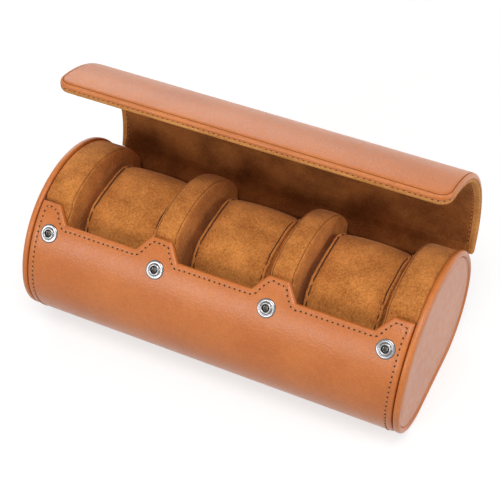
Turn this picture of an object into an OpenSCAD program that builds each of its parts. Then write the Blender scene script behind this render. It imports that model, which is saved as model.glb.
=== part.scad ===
// Travel case for three watches: a D-section leather roll with flat end caps,
// a lid on a leather hinge with four snaps, and three pull-out cushions.
// X runs along the case, Y from the snaps to the hinge, Z up. The origin is the
// middle of the base. The lid stands open, as in use.

/* [Case] */
// Length over the rims of the two end caps
case_l = 210.4; // [190:0.2:240]
// Radius of the round upper part of the section
case_r = 51; // [50:0.1:52]
// Height of the round part's centre over the base
centre_h = 29; // [28:0.1:30]
// Radius of the two lower corners of the section
corner_r = 33; // [32:0.1:34]
// Thickness of the outer leather
leather_t = 1.2; // [1:0.1:1.4]
// Thickness of the board in the wall
board_t = 1.6; // [1.2:0.1:1.8]
// Thickness of the suede lining
lining_t = 0.8; // [0.6:0.1:1]
// Angle of the rear edge of the body, from the rear over the top
rear_a = 12.3; // [11.5:0.1:12.8]
// Angle of the top of the snap tabs
tab_a = 117.6; // [116:0.1:119]
// Angle of the bottom of the notches
notch_a = 127.8; // [126:0.1:129]

/* [End caps] */
// Thickness of the rolled rim
rim_d = 3.4; // [3:0.1:3.6]
// Gap between the wall and the rim
groove_w = 0.3; // [0.2:0.1:0.6]
// Thickness of the leather panel in the cap
panel_t = 1; // [0.6:0.1:1.2]
// Thickness of the end pads
pad_t = 14.8; // [12:0.1:16]

/* [Compartments] */
// Distance of a divider's middle from the middle of the case
divider_x = 32; // [31:0.1:33]
// Thickness of a divider
divider_t = 12.8; // [11:0.1:13]
// Radius over the tops of the pads and dividers
pad_r = 49.8; // [48:0.1:50]
// Rounding of the edges of pads and dividers
pad_edge = 3; // [2:0.1:4]
// Thickness of the suede covers
cover_t = 0.9; // [0.6:0.1:1.2]

/* [Cushions] */
// Width of a cushion along the case
cushion_w = 46.4; // [40:0.1:46.6]
// Depth of a cushion from front to rear
cushion_d = 62.5; // [58:0.1:63]
// Height of a cushion
cushion_h = 65; // [60:0.1:65.4]
// Rounding of a cushion's section
cushion_r = 24; // [20:0.5:28]
// How far the cushion is drawn in at its ends
crown = 2.2; // [1:0.1:3]
// Height of the sewn ridge round each end
ridge = 0.9; // [0:0.1:1.2]

/* [Lid] */
// Length of the lid along the case
lid_l = 207.4; // [200:0.2:208]
// Radius of the middle of the lid's thickness
lid_r = 59.4; // [59.3:0.1:60]
// Thickness of the lid
lid_t = 4.8; // [4.4:0.1:5]
// Angle at which the lid stands open
lid_open = 48.4; // [0:0.1:108]
// Rounding of the two free corners
lid_corner = 13; // [6:0.5:16]

/* [Snaps] */
// Distance of the inner snaps from the middle
snap_in = 30.5; // [29:0.1:33]
// Distance of the outer snaps from the middle
snap_out = 91.9; // [90:0.1:93]
// Angle of the snap row
snap_a = 135.6; // [134.5:0.1:137]
// Diameter of a snap's flange
snap_d = 10; // [9:0.1:10.5]

/* [Hidden] */
$fn = 96;

leather_col = "#b96a35";
suede_col = "#a9692f";
board_col = "#6b5a48";
foam_col = "#d8d0c0";
chrome_col = "#c9ccd0";

// Section: the two corner circles touch the round part from inside
corner_z = corner_r - centre_h;
corner_a = asin(corner_z / (case_r - corner_r));
corner_y = (case_r - corner_r) * cos(corner_a);
wall_t = leather_t + board_t + lining_t;
turn = 1.4;
far = 300;

// Lengths along the case
wall_x = case_l / 2 - rim_d - groove_w;
rim_x = case_l / 2 - rim_d;
plug_x = wall_x - 1.2;
cap_x = rim_x + 2.2;
pad_x = plug_x - pad_t;
fit = 0.3;

// Tabs, from the middle of the case outwards
tab_top_w = 5.6;
tab_base_w = 11.8;
end_tab_top = 90.8;
end_tab_base = 84.1;

// Lid, about its own centre: it is flatter than the case, so that centre lies below the case's
lid_cy = -1.9;
lid_cz = -5.3;
lid_from = 24.8;
lid_to = 133.5;
lid_leather_t = 1.4;
lid_lining_t = 1;
lid_in = lid_r - lid_t / 2;
lid_out = lid_r + lid_t / 2;
lid_gap = 0.5;
// The corner rounding crosses the lid's edges at a small angle, so that no sliver is left
cross = 0.08;

// Hinge: a leather fold over the rear edge of the body
hinge_y = 46.9;
hinge_z = 12.4;
fold_r = 0.95;
fold_t = 1;
fold_x = wall_x - 1.2;
flap_t = 0.7;
// Points of the flap from the hinge axis, with the lid shut. It clears the wall when the lid falls back
flap_start = [-0.9, 1.6];
flap_bend = [-0.4, 3.6];
flap_end = [6.5, 8];

// Cushions
cushion_back = 36;
cushion_base = 0.4;
cushion_x = 62;
ring_n = 36;
pad_ring_n = 60;
// Angles past the wall's edges at which the pads rise to the shut lid
pad_rise_rear = 6;
pad_rise_front = 4;

// Snaps
flange_t = 0.7;
snap_h = 1.5;
snap_hole = 3.6;
snap_pin_d = 2.6;
snap_fit = 0.2;
rivet_d = 7;
stud_rivet_d = 5;
rivet_t = 0.7;
stud_h = 1.7;
stud_d = 2.8;
stud_base = 0.35;
seat = 0.25;
hole_d = snap_pin_d + snap_fit;
slack = 0.1;
over = 2;
rivet_hole_d = rivet_d + 2 * slack;
stud_rivet_hole_d = stud_rivet_d + 2 * slack;
stud_post = lid_t - lid_leather_t - rivet_t - slack;
socket_post = leather_t + board_t - seat - rivet_t - slack / 2;

// The studs stand square to the lid, over the sockets: their angle about the lid's centre
snap_face = lid_hit(snap_a, lid_in);
stud_a = atan2(snap_face * sin(snap_a) - lid_cz, snap_face * cos(snap_a) - lid_cy);

// Frames

// Extrudes a section drawn as (Y, Z) about the round part's centre along X
module along_x(x0, x1) {
    translate([x0, 0, centre_h])
        rotate([90, 0, 90])
            linear_extrude(x1 - x0)
                children();
}

// A shape drawn with +Z away from the case axis, put at an angle round it
module at_angle(a, r) {
    translate([0, 0, centre_h])
        rotate([a - 90, 0, 0])
            translate([0, 0, r])
                children();
}

// The same about the lid's centre
module at_lid_angle(a, r) {
    translate([0, lid_cy, centre_h + lid_cz])
        rotate([a - 90, 0, 0])
            translate([0, 0, r])
                children();
}

// Turns a closed lid piece to where the lid stands
module as_open() {
    translate([0, hinge_y, centre_h + hinge_z])
        rotate([-lid_open, 0, 0])
            translate([0, -hinge_y, -centre_h - hinge_z])
                children();
}

module both_ends() {
    children();
    mirror([1, 0, 0])
        children();
}

// Sections

// Wedge from the centre between two angles, under 180 degrees apart
module wedge(a0, a1) {
    am = (a0 + a1) / 2;
    polygon([
        [0, 0],
        far * [cos(a0), sin(a0)],
        far * 1.5 * [cos(am), sin(am)],
        far * [cos(a1), sin(a1)]
    ]);
}

// Outline of the case, drawn in by t
module dee(t) {
    intersection() {
        circle(case_r - t);
        wedge(corner_a, 90);
    }
    intersection() {
        circle(case_r - t);
        wedge(90, 180 - corner_a);
    }
    for (s = [-1, 1])
        translate([s * corner_y, corner_z])
            circle(corner_r - t);
    translate([-corner_y, t - centre_h])
        square([2 * corner_y, centre_h - t]);
}

// Distance from the centre to that outline, at an angle
function corner_hit(a, t) =
    let (b = corner_y * abs(cos(a)) + corner_z * sin(a))
    b + sqrt(b * b - corner_y * corner_y - corner_z * corner_z + (corner_r - t) * (corner_r - t));
function dee_r(a, t) =
    a > corner_a && a < 180 - corner_a ? case_r - t :
    corner_hit(a, t) * abs(cos(a)) > corner_y ? corner_hit(a, t) :
    (centre_h - t) / -sin(a);

// Distance from the case's centre to a circle about the lid's centre
function lid_hit(a, r) =
    let (b = lid_cy * cos(a) + lid_cz * sin(a))
    b + sqrt(b * b - lid_cy * lid_cy - lid_cz * lid_cz + r * r);

// Body wall

// One notch between two tabs: straight bottom, slanted sides, cut square to the wall
module notch(x0, x1, slant0, slant1, back) {
    drop = case_r * (notch_a - tab_a) * PI / 180;
    over = 3;
    at_angle((notch_a + tab_a) / 2, case_r - 12)
        linear_extrude(24)
            polygon([
                [x0 - back, -drop / 2 - back],
                [x1 + back, -drop / 2 - back],
                [x1 + back + slant1 * over, drop / 2 + (over - 1) * drop],
                [x0 - back - slant0 * over, drop / 2 + (over - 1) * drop]
            ]);
}

// Layer of the wall from depth t0 to t1, its free edges drawn back
module wall(t0, t1, back) {
    back_a = back / case_r * 180 / PI;
    slant = tab_base_w - tab_top_w;
    difference() {
        along_x(back - wall_x, wall_x - back)
            difference() {
                dee(t0);
                dee(t1);
                wedge(rear_a - back_a, tab_a + back_a);
            }
        notch(-divider_x + tab_base_w, divider_x - tab_base_w, slant, slant, back);
        both_ends()
            notch(divider_x + tab_base_w, end_tab_base, slant, end_tab_top - end_tab_base, back);
    }
}

module at_snaps(r) {
    for (x = [-snap_out, -snap_in, snap_in, snap_out])
        translate([x, 0, 0])
            at_angle(snap_a, r)
                children();
}

module at_studs(r) {
    for (x = [-snap_out, -snap_in, snap_in, snap_out])
        translate([x, 0, 0])
            at_lid_angle(stud_a, r)
                children();
}

module body_leather() {
    color(leather_col)
        difference() {
            wall(0, leather_t + board_t, 0);
            wall(leather_t, leather_t + board_t + over, turn);
            at_snaps(case_r - wall_t - over)
                cylinder(d = hole_d, h = wall_t + 2 * over);
            at_snaps(case_r - seat)
                cylinder(d = snap_d + snap_fit, h = over);
        }
}

module body_board() {
    color(board_col)
        difference() {
            wall(leather_t, leather_t + board_t, turn);
            at_snaps(case_r - wall_t - over)
                cylinder(d = hole_d, h = wall_t + 2 * over);
            at_snaps(case_r - leather_t - board_t - over)
                cylinder(d = rivet_hole_d, h = over + rivet_t + slack);
        }
}

module body_lining() {
    color(suede_col)
        wall(leather_t + board_t, wall_t, 0);
}

// End caps

module cap_board() {
    color(board_col) {
        along_x(plug_x, rim_x)
            dee(wall_t);
        along_x(rim_x, cap_x)
            dee(rim_d);
    }
}

module cap_leather() {
    color(leather_col)
        along_x(cap_x, cap_x + panel_t)
            dee(rim_d);
}

// Rolled rim: a flat welt behind a round bead
module cap_rim() {
    rr = rim_d / 2;
    inset = 0.1;
    color(leather_col) {
        along_x(rim_x, case_l / 2 - rr)
            difference() {
                dee(inset);
                dee(rim_d);
            }
        along_x(case_l / 2 - rr, case_l / 2 - 0.5)
            difference() {
                dee(inset + 0.5);
                dee(rim_d);
            }
        along_x(case_l / 2 - 0.5, case_l / 2)
            difference() {
                dee(inset + 1.1);
                dee(rim_d - 0.6);
            }
    }
}

// Pads and dividers

// Reach of a pad at an angle, drawn in by t: clear of the wall below, and of the shut lid above
function pad_reach(a, t) =
    a > rear_a + pad_rise_rear && a < tab_a - pad_rise_front ?
        min(pad_r, lid_hit(a, lid_in - lid_gap)) - t :
        dee_r(a, wall_t + fit + t);
function pad_ring(x, t, n) =
    [for (i = [0 : n - 1]) let (a = i * 360 / n - 180, r = pad_reach(a, t)) [x, r * cos(a), r * sin(a)]];

// Closed skin through rings of equal count
module skin(rings) {
    n = len(rings[0]);
    m = len(rings);
    polyhedron(
        points = [for (r = rings) each r],
        faces = concat(
            [[for (i = [n - 1 : -1 : 0]) i]],
            [[for (i = [0 : n - 1]) (m - 1) * n + i]],
            [for (k = [0 : m - 2], i = [0 : n - 1])
                [k * n + i, k * n + (i + 1) % n, (k + 1) * n + (i + 1) % n]],
            [for (k = [0 : m - 2], i = [0 : n - 1])
                [k * n + i, (k + 1) * n + (i + 1) % n, (k + 1) * n + i]]
        ),
        convexity = 4
    );
}

// Quarter round of an edge, from the end face inwards: how far it is drawn in, and how far along
function edge_steps(r, n) = [for (i = [0 : n]) let (a = 90 * i / n) [r - r * sin(a), r - r * cos(a)]];

// Block across the case from x0 to x1, its edges rounded where round0 or round1 says so
module pad_body(x0, x1, round0, round1) {
    n = pad_ring_n;
    steps = edge_steps(pad_edge, 4);
    low = round0 ? [for (s = steps) pad_ring(x0 + s[1], s[0], n)] : [pad_ring(x0, 0, n)];
    high = round1 ? [for (s = steps) pad_ring(x1 - s[1], s[0], n)] : [pad_ring(x1, 0, n)];
    translate([0, 0, centre_h])
        skin(concat(low, [for (i = [len(high) - 1 : -1 : 0]) high[i]]));
}

module pad_block(x0, x1) {
    in = cover_t + 0.3;
    along_x(x0 + in, x1 - in)
        dee(wall_t + fit + in);
}

module pad_cover() {
    color(suede_col)
        difference() {
            pad_body(pad_x, plug_x, true, false);
            pad_block(pad_x, plug_x);
        }
}

module pad_core() {
    color(foam_col)
        pad_block(pad_x, plug_x);
}

module divider_cover() {
    x0 = divider_x - divider_t / 2;
    color(suede_col)
        difference() {
            pad_body(x0, x0 + divider_t, true, true);
            pad_block(x0, x0 + divider_t);
        }
}

module divider_core() {
    x0 = divider_x - divider_t / 2;
    color(foam_col)
        pad_block(x0, x0 + divider_t);
}

// Cushions

// Rounded rectangle of the cushion's section, drawn in by t
function cushion_ring(x, t) =
    let (
        y1 = cushion_back - cushion_r,
        y0 = cushion_back - cushion_d + cushion_r,
        z0 = wall_t + cushion_base - centre_h + cushion_r,
        z1 = z0 + cushion_h - 2 * cushion_r,
        per = ring_n / 4
    )
    [for (k = [0 : 3], j = [0 : per - 1])
        let (
            a = -90 + 90 * k + 90 * j / (per - 1),
            y = k < 2 ? y1 : y0,
            z = k == 0 || k == 3 ? z0 : z1
        )
        [x, y + (cushion_r - t) * cos(a), z + (cushion_r - t) * sin(a)]];

// How far the skin is drawn in at distance e from an end
function drawn_in(e) =
    let (u = 1 - e / (cushion_w / 2), edge = 2.4, seam = 1.6, seam_w = 0.9)
    crown * u * u * u
    + (e < edge ? edge - sqrt(edge * edge - (edge - e) * (edge - e)) : 0)
    - ridge * max(0, 1 - abs(e - seam) / seam_w);

module cushion_body() {
    steps = [0, 0.3, 0.7, 1.6, 2.5, 4.5, 8, 13, 18, cushion_w / 2];
    m = len(steps) - 1;
    left = [for (e = steps) cushion_ring(e - cushion_w / 2, drawn_in(e))];
    right = [for (i = [m - 1 : -1 : 0]) cushion_ring(cushion_w / 2 - steps[i], drawn_in(steps[i]))];
    translate([0, 0, centre_h])
        skin(concat(left, right));
}

module cushion_block() {
    in = crown + 2;
    r = cushion_r - in;
    z0 = wall_t + cushion_base - centre_h + in;
    along_x(in - cushion_w / 2, cushion_w / 2 - in)
        for (y = [cushion_back - in - r, cushion_back - cushion_d + in + r])
            for (z = [z0 + r, z0 + cushion_h - 2 * in - r])
                translate([y, z])
                    circle(r);
    along_x(in - cushion_w / 2, cushion_w / 2 - in) {
        translate([cushion_back - cushion_d + in, z0 + r])
            square([cushion_d - 2 * in, cushion_h - 2 * in - 2 * r]);
        translate([cushion_back - cushion_d + in + r, z0])
            square([cushion_d - 2 * in - 2 * r, cushion_h - 2 * in]);
    }
}

module cushion_cover(x) {
    color(suede_col)
        translate([x, 0, 0])
            difference() {
                cushion_body();
                cushion_block();
            }
}

module cushion_core(x) {
    color(foam_col)
        translate([x, 0, 0])
            cushion_block();
}

// Snaps on the body

module snap_sockets() {
    r = snap_d / 2;
    lip = snap_hole / 2;
    color(chrome_col)
        at_snaps(case_r - seat)
            rotate_extrude()
                polygon([
                    [0, -socket_post], [snap_pin_d / 2, -socket_post],
                    [snap_pin_d / 2, 0], [r, 0], [r, flange_t / 2], [r - 0.5, flange_t],
                    [lip + 1.3, flange_t], [lip + 1, snap_h], [lip + 0.2, snap_h],
                    [lip, snap_h - 0.2], [lip, flange_t - 0.3], [0, flange_t - 0.3]
                ]);
}

module snap_socket_rivets() {
    color(chrome_col)
        at_snaps(case_r - leather_t - board_t + slack / 2)
            cylinder(d = rivet_d, h = rivet_t);
}

// Leather fold that the lid turns on
module hinge_fold() {
    color(leather_col)
        along_x(-fold_x, fold_x) {
            translate([hinge_y, hinge_z])
                circle(fold_r);
            intersection() {
                difference() {
                    circle(norm([hinge_y, hinge_z]));
                    circle(norm([hinge_y, hinge_z]) - fold_t);
                }
                wedge(rear_a, atan2(hinge_z, hinge_y));
            }
        }
}

// Flat strip of the flap's thickness between two points of a section, its ends round
module strip(a, b) {
    translate(a)
        rotate(atan2(b[1] - a[1], b[0] - a[0]))
            translate([0, -flap_t / 2])
                square([norm(b - a), flap_t]);
    translate(a)
        circle(flap_t / 2);
    translate(b)
        circle(flap_t / 2);
}

// The lid's side of the fold, from beside the hinge axis to the lid's rear end
module hinge_flap() {
    along_x(-fold_x, fold_x)
        translate([hinge_y, hinge_z]) {
            strip(flap_start, flap_bend);
            strip(flap_bend, flap_end);
        }
}

// Lid

// Layer of the lid between two radii, its edges drawn back
module lid_arc(r0, r1, back) {
    back_a = back / lid_r * 180 / PI;
    difference() {
        along_x(back - lid_l / 2, lid_l / 2 - back)
            translate([lid_cy, lid_cz])
                intersection() {
                    difference() {
                        circle(r1);
                        circle(r0);
                    }
                    wedge(lid_from + back_a, lid_to - back_a);
                }
        both_ends()
            translate([0, lid_cy, centre_h + lid_cz])
                rotate([lid_to - 90, 0, 0])
                    translate([lid_l / 2 - lid_corner, 0, lid_r - lid_t])
                        linear_extrude(2 * lid_t)
                            difference() {
                                translate([0, -lid_corner])
                                    square(2 * lid_corner);
                                translate([0, lid_corner])
                                    circle(lid_corner - back + cross);
                            }
    }
}

module lid_leather() {
    color(leather_col)
        as_open()
            difference() {
                union() {
                    lid_arc(lid_in + lid_lining_t, lid_out, 0);
                    difference() {
                        hinge_flap();
                        lid_arc(lid_in, lid_in + lid_lining_t, 0);
                    }
                }
                lid_arc(lid_in, lid_out - lid_leather_t, turn);
                at_studs(lid_in + stud_post - slack / 2)
                    cylinder(d = stud_rivet_hole_d, h = rivet_t);
            }
}

module lid_board() {
    color(board_col)
        as_open()
            difference() {
                lid_arc(lid_in + lid_lining_t, lid_out - lid_leather_t, turn);
                at_studs(lid_in - over)
                    cylinder(d = hole_d, h = lid_t);
                at_studs(lid_in + stud_post - slack / 2)
                    cylinder(d = stud_rivet_hole_d, h = over);
            }
}

module lid_lining() {
    color(suede_col)
        as_open()
            difference() {
                lid_arc(lid_in, lid_in + lid_lining_t, 0);
                at_studs(lid_in - over)
                    cylinder(d = hole_d, h = lid_t);
            }
}

module snap_studs() {
    base_r = 3.2;
    r = stud_d / 2;
    post_r = snap_pin_d / 2;
    // The base lies flat under the hollow lid, a hair below its face
    low = lid_in - sqrt(lid_in * lid_in - base_r * base_r) + slack / 4;
    color(chrome_col)
        as_open()
            at_studs(lid_in)
                rotate_extrude()
                    polygon([
                        [0, -stud_h], [r - 0.3, -stud_h], [r, 0.3 - stud_h],
                        [r - 0.2, -stud_base - low], [base_r - 0.3, -stud_base - low],
                        [base_r, -0.1 - low], [base_r, -low], [post_r, -low],
                        [post_r, stud_post], [0, stud_post]
                    ]);
}

module snap_stud_rivets() {
    color(chrome_col)
        as_open()
            at_studs(lid_in + stud_post)
                cylinder(d = stud_rivet_d, h = rivet_t - slack);
}

body_leather();
body_board();
body_lining();
mirror([1, 0, 0]) cap_board();  // left_cap_board
cap_board();  // right_cap_board
mirror([1, 0, 0]) cap_leather();  // left_cap_leather
cap_leather();  // right_cap_leather
mirror([1, 0, 0]) cap_rim();  // left_cap_rim
cap_rim();  // right_cap_rim
mirror([1, 0, 0]) pad_cover();  // left_pad_cover
pad_cover();  // right_pad_cover
mirror([1, 0, 0]) pad_core();  // left_pad_core
pad_core();  // right_pad_core
mirror([1, 0, 0]) divider_cover();  // left_divider_cover
divider_cover();  // right_divider_cover
mirror([1, 0, 0]) divider_core();  // left_divider_core
divider_core();  // right_divider_core
snap_sockets();
snap_socket_rivets();
hinge_fold();
lid_leather();
lid_board();
lid_lining();
snap_studs();
snap_stud_rivets();
cushion_cover(-cushion_x);  // left_cushion_cover
cushion_cover(0);  // middle_cushion_cover
cushion_cover(cushion_x);  // right_cushion_cover
cushion_core(-cushion_x);  // left_cushion_core
cushion_core(0);  // middle_cushion_core
cushion_core(cushion_x);  // right_cushion_core
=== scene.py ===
"""Travel case for three watches: a leather roll with a D section, its lid open on a leather hinge.

The shapes are worked out in millimetres about the middle of the section's round part, and placed
in metres with +X along the case, +Y to the hinge and +Z up.
"""

from math import asin, atan2, ceil, cos, degrees, hypot, pi, radians, sin, sqrt, tan

import bpy
import bmesh
from mathutils import Matrix, Vector, noise
from mathutils.bvhtree import BVHTree
from mathutils.geometry import delaunay_2d_cdt


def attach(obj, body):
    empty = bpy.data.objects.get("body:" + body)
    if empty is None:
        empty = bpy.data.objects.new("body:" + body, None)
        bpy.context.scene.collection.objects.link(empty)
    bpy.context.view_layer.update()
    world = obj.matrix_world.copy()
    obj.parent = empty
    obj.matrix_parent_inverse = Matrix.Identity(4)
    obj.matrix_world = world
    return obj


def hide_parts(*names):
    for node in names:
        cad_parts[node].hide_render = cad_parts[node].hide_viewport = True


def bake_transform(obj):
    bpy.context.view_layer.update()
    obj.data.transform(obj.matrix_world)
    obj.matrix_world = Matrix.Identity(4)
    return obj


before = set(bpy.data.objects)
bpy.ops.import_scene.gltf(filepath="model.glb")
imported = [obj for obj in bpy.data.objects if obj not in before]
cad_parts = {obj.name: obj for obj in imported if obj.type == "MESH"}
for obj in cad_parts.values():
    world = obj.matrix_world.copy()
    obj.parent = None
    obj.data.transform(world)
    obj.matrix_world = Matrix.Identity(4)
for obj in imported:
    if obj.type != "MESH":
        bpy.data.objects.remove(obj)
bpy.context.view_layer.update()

MM = 0.001

# Section of the case
CASE_R = 51
CENTRE_H = 29
CORNER_R = 33
CORNER_Z = CORNER_R - CENTRE_H
CORNER_A = degrees(asin(CORNER_Z / (CASE_R - CORNER_R)))
CORNER_Y = (CASE_R - CORNER_R) * cos(radians(CORNER_A))
WALL_T = 3.6
REAR_A = 12.3
TAB_A = 117.6
NOTCH_A = 127.8
WALL_X = 101.5
ROW_IN = 3.1

# Tabs, as half widths about their middles
DIVIDER_X = 32
TAB_TOP = 5.6
TAB_BASE = 11.8
END_TAB_TOP = 90.8
END_TAB_BASE = 84.1

# End caps
RIM_X = 101.8

# Pads, dividers and cushions
PAD_R = 49.8
PAD_X = 85.5
PAD_END = 101.5
PAD_GAP = 0.4
SEAM_IN = 1.02
DIVIDER_T = 12.8
CUSHION_X = 62
CUSHION_W = 46.4
CUSHION_D = 62.5
CUSHION_H = 65
CUSHION_R = 24
CUSHION_BACK = 36
CUSHION_LOW = WALL_T + PAD_GAP - CENTRE_H
CUSHION_SEAM_IN = 2.3
CUSHION_RING = 96

# Lid, about its own centre when shut, and the hinge that it turns on
LID_Y = -1.9
LID_Z = -5.3
LID_R = 59.4
LID_T = 4.8
LID_FROM = 24.8
LID_TO = 133.5
LID_X = 103.7
LID_OPEN = 48.4
LID_CORNER = 7
SEAM_DEPTH = 2.7
EDGE_ROLL = 0.5
LINING_ROW_IN = 3.9
HINGE_Y = 46.9
HINGE_Z = 12.4
HINGE_X = WALL_X - 0.3
HINGE_LAP = 5.0
HINGE_PROUD = 0.12
HINGE_SUNK = 0.1
OUTER_BEND = ((51.6, 11.7), (56.9, 9.6))
INNER_BEND = ((46.0, 12.8), (51.2, 12.5))
BEND_STEPS = 14
HINGE_STOPS = 60

# Snaps
SNAP_X = (-91.9, -30.5, 30.5, 91.9)
SNAP_A = 135.6
SOCKET_R = CASE_R - 0.25
STUD_FACE_R = 54.34


# Camera, at the photograph's angle

def make_camera():
    """Turns round the middle of the section, and sets the framing by moving sideways."""
    azimuth, elevation, roll = radians(28.96), radians(47.63), radians(-4.0)
    distance = 0.6978
    focal_px, side_px, sensor = 1337.4, 500, 36
    off_x, off_y = -3.891, 34.608
    back = Vector((sin(azimuth) * cos(elevation), -cos(azimuth) * cos(elevation), sin(elevation)))
    level = Vector((cos(azimuth), sin(azimuth), 0))
    upright = back.cross(level)
    right = level * cos(roll) + upright * sin(roll)
    up = upright * cos(roll) - level * sin(roll)
    metres_per_px = distance / focal_px
    target = Vector((0, 0, CENTRE_H * MM))
    place = target + back * distance - right * off_x * metres_per_px + up * off_y * metres_per_px
    data = bpy.data.cameras.new("camera")
    data.sensor_width = sensor
    data.lens = sensor * focal_px / side_px
    camera = bpy.data.objects.new("camera", data)
    turn = Matrix((right, up, back)).transposed().to_4x4()
    camera.matrix_world = Matrix.Translation(place) @ turn
    bpy.context.scene.collection.objects.link(camera)
    bpy.context.scene.camera = camera


make_camera()


# Places on the case

def at(x, y, z):
    """A point given in millimetres about the round part's centre."""
    return Vector((x * MM, y * MM, (z + CENTRE_H) * MM))


def on_circle(r, a):
    """(y, z) at that radius and angle, from +Y towards +Z."""
    return r * cos(radians(a)), r * sin(radians(a))


FRONT_LEN = radians(180 - CORNER_A - TAB_A) * CASE_R
CORNER_LEN = radians(90 + CORNER_A) * CORNER_R
BOTTOM_LEN = 2 * CORNER_Y
NOTCH_DROP = radians(NOTCH_A - TAB_A) * CASE_R


def wall_end():
    """Length of the wrap from the tab tops, down the front and round to the rear edge."""
    y, z = on_circle(CASE_R, REAR_A)
    rear_turn = radians(90) + atan2(z - CORNER_Z, y - CORNER_Y)
    return FRONT_LEN + CORNER_LEN + BOTTOM_LEN + rear_turn * CORNER_R


WRAP_LEN = wall_end()


def on_wrap(x, s, depth):
    """A point of the wall: s runs from the tab tops down the front, depth goes in from outside."""
    if s < FRONT_LEN:
        y, z = on_circle(CASE_R - depth, TAB_A + degrees(s / CASE_R))
        return at(x, y, z)
    s -= FRONT_LEN
    if s < CORNER_LEN:
        y, z = on_circle(CORNER_R - depth, 180 - CORNER_A + degrees(s / CORNER_R))
        return at(x, y - CORNER_Y, z + CORNER_Z)
    s -= CORNER_LEN
    if s < BOTTOM_LEN:
        return at(x, s - CORNER_Y, depth - CENTRE_H)
    s -= BOTTOM_LEN
    y, z = on_circle(CORNER_R - depth, -90 + degrees(s / CORNER_R))
    return at(x, y + CORNER_Y, z + CORNER_Z)


def lid_opened(x, y, z):
    """Turns a point of the shut lid to where the lid stands."""
    a = radians(LID_OPEN)
    y, z = y - HINGE_Y, z - HINGE_Z
    return at(x, HINGE_Y + y * cos(a) + z * sin(a), HINGE_Z - y * sin(a) + z * cos(a))


def on_lid(x, s, depth):
    """A point of the open lid: s runs from its rear end to its free edge."""
    y, z = on_circle(LID_R + LID_T / 2 - depth, LID_FROM + degrees(s / LID_R))
    return lid_opened(x, LID_Y + y, LID_Z + z)


LID_LEN = radians(LID_TO - LID_FROM) * LID_R


def dee_reach(a, depth):
    """Distance from the centre to the section's outline, drawn in by depth."""
    a = radians(a)
    if CORNER_A < degrees(a) % 360 < 180 - CORNER_A:
        return CASE_R - depth
    b = CORNER_Y * abs(cos(a)) + CORNER_Z * sin(a)
    hit = b + sqrt(max(0, b * b - CORNER_Y ** 2 - CORNER_Z ** 2 + (CORNER_R - depth) ** 2))
    if hit * abs(cos(a)) > CORNER_Y:
        return hit
    return (CENTRE_H - depth) / -sin(a)


# Mesh making

def finish_piece(name, mesh, material, body, replaced=()):
    """Puts a finished mesh into the scene on its body."""
    piece = bpy.data.objects.new(name, mesh)
    bpy.context.scene.collection.objects.link(piece)
    if material is not None:
        mesh.materials.append(material)
    mesh.shade_smooth()
    if body is not None:
        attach(piece, body)
    if replaced:
        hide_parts(*replaced)
    return piece


def baked(piece):
    """The mesh of a piece with its modifiers applied."""
    return bpy.data.meshes.new_from_object(piece.evaluated_get(bpy.context.evaluated_depsgraph_get()))


def mesh_of(name, verts, faces):
    """A mesh from points and faces, with its faces turned outwards."""
    bm = bmesh.new()
    made = [bm.verts.new(v) for v in verts]
    for f in faces:
        try:
            bm.faces.new([made[i] for i in f])
        except ValueError:
            pass
    bmesh.ops.recalc_face_normals(bm, faces=bm.faces)
    mesh = bpy.data.meshes.new(name)
    bm.to_mesh(mesh)
    bm.free()
    return mesh


def outline(corners, inset, step=2.5, arc=6):
    """Closed outline through (x, s, rounding) corners, anticlockwise, drawn in by inset.

    Every inset gives the same number of points, so that outlines join up into a sheet's edge.
    """
    n = len(corners)
    base = [Vector(c[:2]) for c in corners]
    ways = [(base[(i + 1) % n] - base[i]).normalized() for i in range(n)]
    moved = []
    for i in range(n):
        before, after = ways[i - 1], ways[i]
        inward = Vector((-before.y, before.x)) + Vector((-after.y, after.x))
        moved.append(base[i] + inward * inset / (1 + before.dot(after)))
    points, ends = [], []
    for i in range(n):
        before, after = ways[i - 1], ways[i]
        turn = before.angle_signed(after) * -1
        rounding = max(corners[i][2] - inset, 0.05) if turn > 0 else corners[i][2] + inset
        reach = rounding * tan(abs(turn) / 2)
        start = moved[i] - before * reach
        side = Vector((-before.y, before.x)) * (1 if turn > 0 else -1)
        middle = start + side * rounding
        spoke = start - middle
        arc_points = []
        for k in range(arc + 1):
            a = turn * k / arc
            arc_points.append(middle + Vector((
                spoke.x * cos(a) - spoke.y * sin(a), spoke.x * sin(a) + spoke.y * cos(a))))
        ends.append(arc_points)
    for i in range(n):
        here, there = ends[i][-1], ends[(i + 1) % n][0]
        parts = max(1, ceil((base[(i + 1) % n] - base[i]).length / step))
        points += ends[i]
        points += [here.lerp(there, k / parts) for k in range(1, parts)]
    return points


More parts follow.
